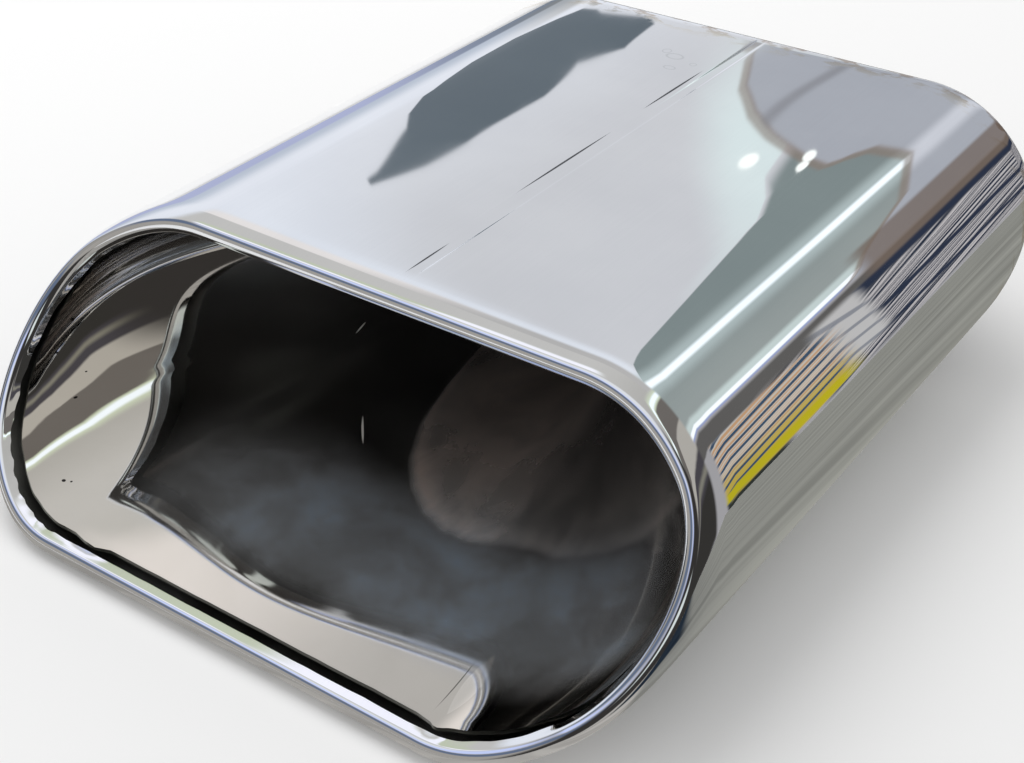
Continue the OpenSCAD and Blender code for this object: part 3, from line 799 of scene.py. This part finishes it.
def front_of_room(tree, x, y, height):
    """Beige room behind the camera, with a dark beam under the ceiling and a lamp above."""
    level = tree.math("SINE", tree.math("MULTIPLY", height, 0.9))
    level = tree.math("MULTIPLY_ADD", level, 0.5, 0.5)
    room = tree.mix(tree.math("MULTIPLY", level, 0.35), (0.36, 0.34, 0.31), (0.6, 0.58, 0.56))
    room = tree.mix(tree.band(height, 29, 44, 3), room, (0.14, 0.18, 0.27))
    room = tree.mix(tree.ramp(height, 44, 49), room, (0.66, 0.75, 1.1))
    room = tree.mix(tree.ramp(height, 53, 57), room, (0.85, 0.87, 0.9))
    room = tree.mix(tree.ramp(x, -0.1, 0.15), room, (0.04, 0.037, 0.035))
    lamp = tree.math("MULTIPLY", tree.band(height, 31, 43, 2), tree.band(x, 0.35, 0.75, 0.08))
    lamp = tree.math("MULTIPLY", lamp, tree.ramp(y, -0.38, -0.48))
    room = tree.mix(lamp, room, (0.8, 0.86, 0.84))
    side = tree.math("MULTIPLY", tree.ramp(x, -0.86, -0.92), tree.band(height, -8, 30, 4))
    return tree.mix(side, room, (0.07, 0.08, 0.09))


def build_world():
    """A pale studio for the camera. Metal sees the room's strips, cards and ceiling around it."""
    world = bpy.data.worlds.new("studio")
    bpy.context.scene.world = world
    world.use_nodes = True
    tree = Tree(world.node_tree)
    way = tree.node("ShaderNodeTexCoord").outputs["Generated"]
    x, y, z = tree.node("ShaderNodeSeparateXYZ", {0: way}).outputs
    height = tree.math("MULTIPLY", tree.math("ARCSINE", z), DEGREES)
    ring, cone = ring_and_cone(tree, x, y, z)
    back = left_hand_room(tree, (0.7, 0.71, 0.74), way, ring, cone)
    back = right_hand_room(tree, back, way, ring, cone)
    back = low_right_room(tree, back, ring, cone)
    back = above_the_mouth(tree, back, ring, cone)
    front = front_of_room(tree, x, y, height)
    high = tree.ramp(height, 45, 49)
    near_top = tree.math("MULTIPLY", tree.band(y, 0.02, 0.2, 0.05), tree.ramp(x, -0.3, -0.4))
    edge = tree.math("MULTIPLY", tree.band(y, -0.02, 0.07, 0.03), tree.ramp(x, -0.52, -0.58))
    edge = tree.math("MAXIMUM", edge, tree.math("MULTIPLY", near_top, tree.ramp(height, 56, 58)))
    near_top = tree.math("MULTIPLY", near_top, high)
    edge = tree.math("MULTIPLY", edge, high)
    lights = []
    for color in (back, front):
        color = tree.mix(near_top, color, (0.62, 0.67, 0.52))
        color = tree.mix(edge, color, (1.1, 1.1, 1.2))
        lights.append(tree.node("ShaderNodeBackground", {"Color": color, "Strength": 1.0}).outputs[0])
    to_front = tree.ramp(y, 0.0, -0.2)
    mirrored = tree.node("ShaderNodeMixShader", {0: to_front, 1: lights[0], 2: lights[1]}).outputs[0]
    plain = tree.node("ShaderNodeBackground", {"Color": (0.85, 0.85, 0.85, 1.0), "Strength": 1.0}).outputs[0]
    glossy = tree.node("ShaderNodeLightPath").outputs["Is Glossy Ray"]
    seen = tree.node("ShaderNodeMixShader", {0: glossy, 1: plain, 2: mirrored}).outputs[0]
    tree.node("ShaderNodeOutputWorld", {"Surface": seen})


def build_lamp():
    data = bpy.data.lights.new("soft_lamp", "AREA")
    data.shape = "DISK"
    data.size = 0.9
    data.energy = 5.0
    lamp = link(bpy.data.objects.new("soft_lamp", data))
    lamp.location = (-0.5, 0.1, 1.0)
    aim = Vector((0, -0.12, 0)) - lamp.location
    lamp.rotation_euler = aim.to_track_quat("-Z", "Y").to_euler()
    lamp.visible_glossy = False


def build_camera():
    """The photograph's view: the point in the middle of the mouth falls on its pixel."""
    azimuth, elevation = math.radians(35.11), math.radians(33.75)
    focal_px = 1635.0
    width_px, height_px = 1024, 763
    point = Vector((0, MOUTH_Y, 0)) * MM
    point_px = (306.65, 461.16)
    distance = 321.0 * MM
    back = Vector((math.sin(azimuth) * math.cos(elevation), -math.cos(azimuth) * math.cos(elevation),
                   math.sin(elevation)))
    right = Vector((math.cos(azimuth), math.sin(azimuth), 0))
    up = back.cross(right)
    place = point + back * distance
    place -= right * ((point_px[0] - width_px / 2) / focal_px * distance)
    place += up * ((point_px[1] - height_px / 2) / focal_px * distance)
    data = bpy.data.cameras.new("camera")
    data.sensor_width = 36.0
    data.lens = focal_px / width_px * data.sensor_width
    data.clip_start = 0.01
    camera = link(bpy.data.objects.new("camera", data))
    turn = Matrix((right, up, back)).transposed().to_4x4()
    camera.matrix_world = Matrix.Translation(place) @ turn
    bpy.context.scene.camera = camera


build_shell()
build_liner()
build_materials()
build_floor()
build_reflection_glow_card()
build_world()
build_lamp()
build_camera()
bpy.context.scene.view_settings.view_transform = "Standard"
